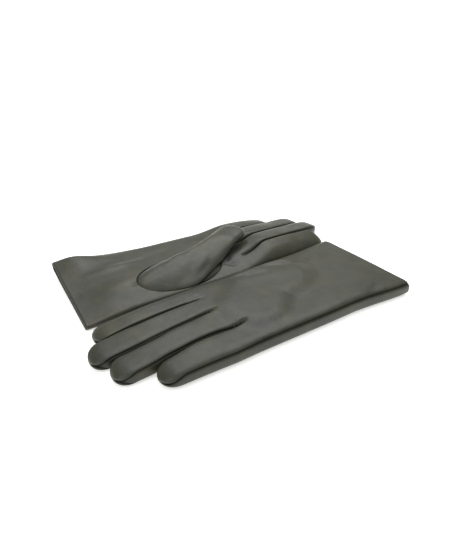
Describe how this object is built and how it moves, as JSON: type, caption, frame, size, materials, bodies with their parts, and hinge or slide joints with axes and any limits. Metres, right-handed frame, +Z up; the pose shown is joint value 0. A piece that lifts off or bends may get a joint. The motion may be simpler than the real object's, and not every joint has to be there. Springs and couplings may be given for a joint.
{
  "type": "leather gloves",
  "caption": "A lined pair of smooth leather dress gloves lying flat head to tail, one back up and one palm up, with fold-up finger stalls and thumbs.",
  "frame": {"origin": "on the surface the pair lies on, under the middle of the pair's bounding box", "axes": "+X along the gloves, towards the right glove's fingertips; +Y from the left glove towards the right glove; +Z up"},
  "size_m": [0.2506, 0.1896, 0.0277],
  "materials": {
    "leather": "soft satin sheepskin nappa, fine grain",
    "fourchette_leather": "satin sheepskin nappa, side walls of the fingers",
    "cuff_facing": "turned-in leather at the cuff, satin",
    "lining": "soft brushed knit lining, matt"
  },
  "bodies": {
    "left_hand": {"left_hand_back": "leather", "left_hand_palm": "leather", "left_cuff_facing": "cuff_facing", "left_hand_lining": "lining", "left_thumb_base": "leather"},
    "left_thumb": {"left_thumb_stall": "leather", "left_thumb_lining": "lining"},
    "left_index": {"left_index_wrap": "leather", "left_index_inner_fourchette": "fourchette_leather", "left_index_lining": "lining"},
    "left_middle": {"left_middle_back": "leather", "left_middle_palm": "leather", "left_middle_outer_fourchette": "fourchette_leather", "left_middle_inner_fourchette": "fourchette_leather", "left_middle_lining": "lining"},
    "left_ring": {"left_ring_back": "leather", "left_ring_palm": "leather", "left_ring_outer_fourchette": "fourchette_leather", "left_ring_inner_fourchette": "fourchette_leather", "left_ring_lining": "lining"},
    "left_little": {"left_little_back": "leather", "left_little_palm": "leather", "left_little_outer_fourchette": "fourchette_leather", "left_little_lining": "lining"},
    "right_hand": {"right_hand_palm": "leather", "right_hand_back": "leather", "right_cuff_facing": "cuff_facing", "right_hand_lining": "lining", "right_thumb_base": "leather"},
    "right_thumb": {"right_thumb_stall": "leather", "right_thumb_lining": "lining"},
    "right_index": {"right_index_wrap": "leather", "right_index_inner_fourchette": "fourchette_leather", "right_index_lining": "lining"},
    "right_middle": {"right_middle_palm": "leather", "right_middle_back": "leather", "right_middle_outer_fourchette": "fourchette_leather", "right_middle_inner_fourchette": "fourchette_leather", "right_middle_lining": "lining"},
    "right_ring": {"right_ring_palm": "leather", "right_ring_back": "leather", "right_ring_outer_fourchette": "fourchette_leather", "right_ring_inner_fourchette": "fourchette_leather", "right_ring_lining": "lining"},
    "right_little": {"right_little_palm": "leather", "right_little_back": "leather", "right_little_outer_fourchette": "fourchette_leather", "right_little_lining": "lining"}
  },
  "joints": [
    {"name": "right_glove_lift", "type": "slide", "parent": "left_hand", "child": "right_hand", "axis": [0, 0, 1], "range_m": [0, 0.15]},
    {"name": "left_index_fold", "type": "hinge", "parent": "left_hand", "child": "left_index", "pos_m": [-0.04495, -0.01319, 0.01335], "axis": [0, 1, 0], "range_deg": [0, 60]},
    {"name": "left_middle_fold", "type": "hinge", "parent": "left_hand", "child": "left_middle", "pos_m": [-0.04495, -0.03329, 0.01335], "axis": [0, 1, 0], "range_deg": [0, 60]},
    {"name": "left_ring_fold", "type": "hinge", "parent": "left_hand", "child": "left_ring", "pos_m": [-0.04495, -0.05509, 0.01335], "axis": [0, 1, 0], "range_deg": [0, 60]},
    {"name": "left_little_fold", "type": "hinge", "parent": "left_hand", "child": "left_little", "pos_m": [-0.04495, -0.07829, 0.01335], "axis": [0, 1, 0], "range_deg": [0, 60]},
    {"name": "right_index_fold", "type": "hinge", "parent": "right_hand", "child": "right_index", "pos_m": [0.04429, 0.00864, 0.01335], "axis": [-0.0286, -0.9996, 0], "range_deg": [0, 80]},
    {"name": "right_middle_fold", "type": "hinge", "parent": "right_hand", "child": "right_middle", "pos_m": [0.04487, 0.02874, 0.01335], "axis": [-0.0286, -0.9996, 0], "range_deg": [0, 80]},
    {"name": "right_ring_fold", "type": "hinge", "parent": "right_hand", "child": "right_ring", "pos_m": [0.04549, 0.05053, 0.01335], "axis": [-0.0286, -0.9996, 0], "range_deg": [0, 80]},
    {"name": "right_little_fold", "type": "hinge", "parent": "right_hand", "child": "right_little", "pos_m": [0.04615, 0.07372, 0.01335], "axis": [-0.0286, -0.9996, 0], "range_deg": [0, 80]},
    {"name": "right_thumb_lift", "type": "hinge", "parent": "right_hand", "child": "right_thumb", "pos_m": [0.00406, 0.02946, 0.0271], "axis": [0.248, -0.9688, 0], "range_deg": [0, 75]},
    {"name": "left_thumb_swing", "type": "hinge", "parent": "left_hand", "child": "left_thumb", "pos_m": [0.01105, -0.03429, 0.00465], "axis": [0, 0, 1], "range_deg": [-2.5, 8]}
  ]
}
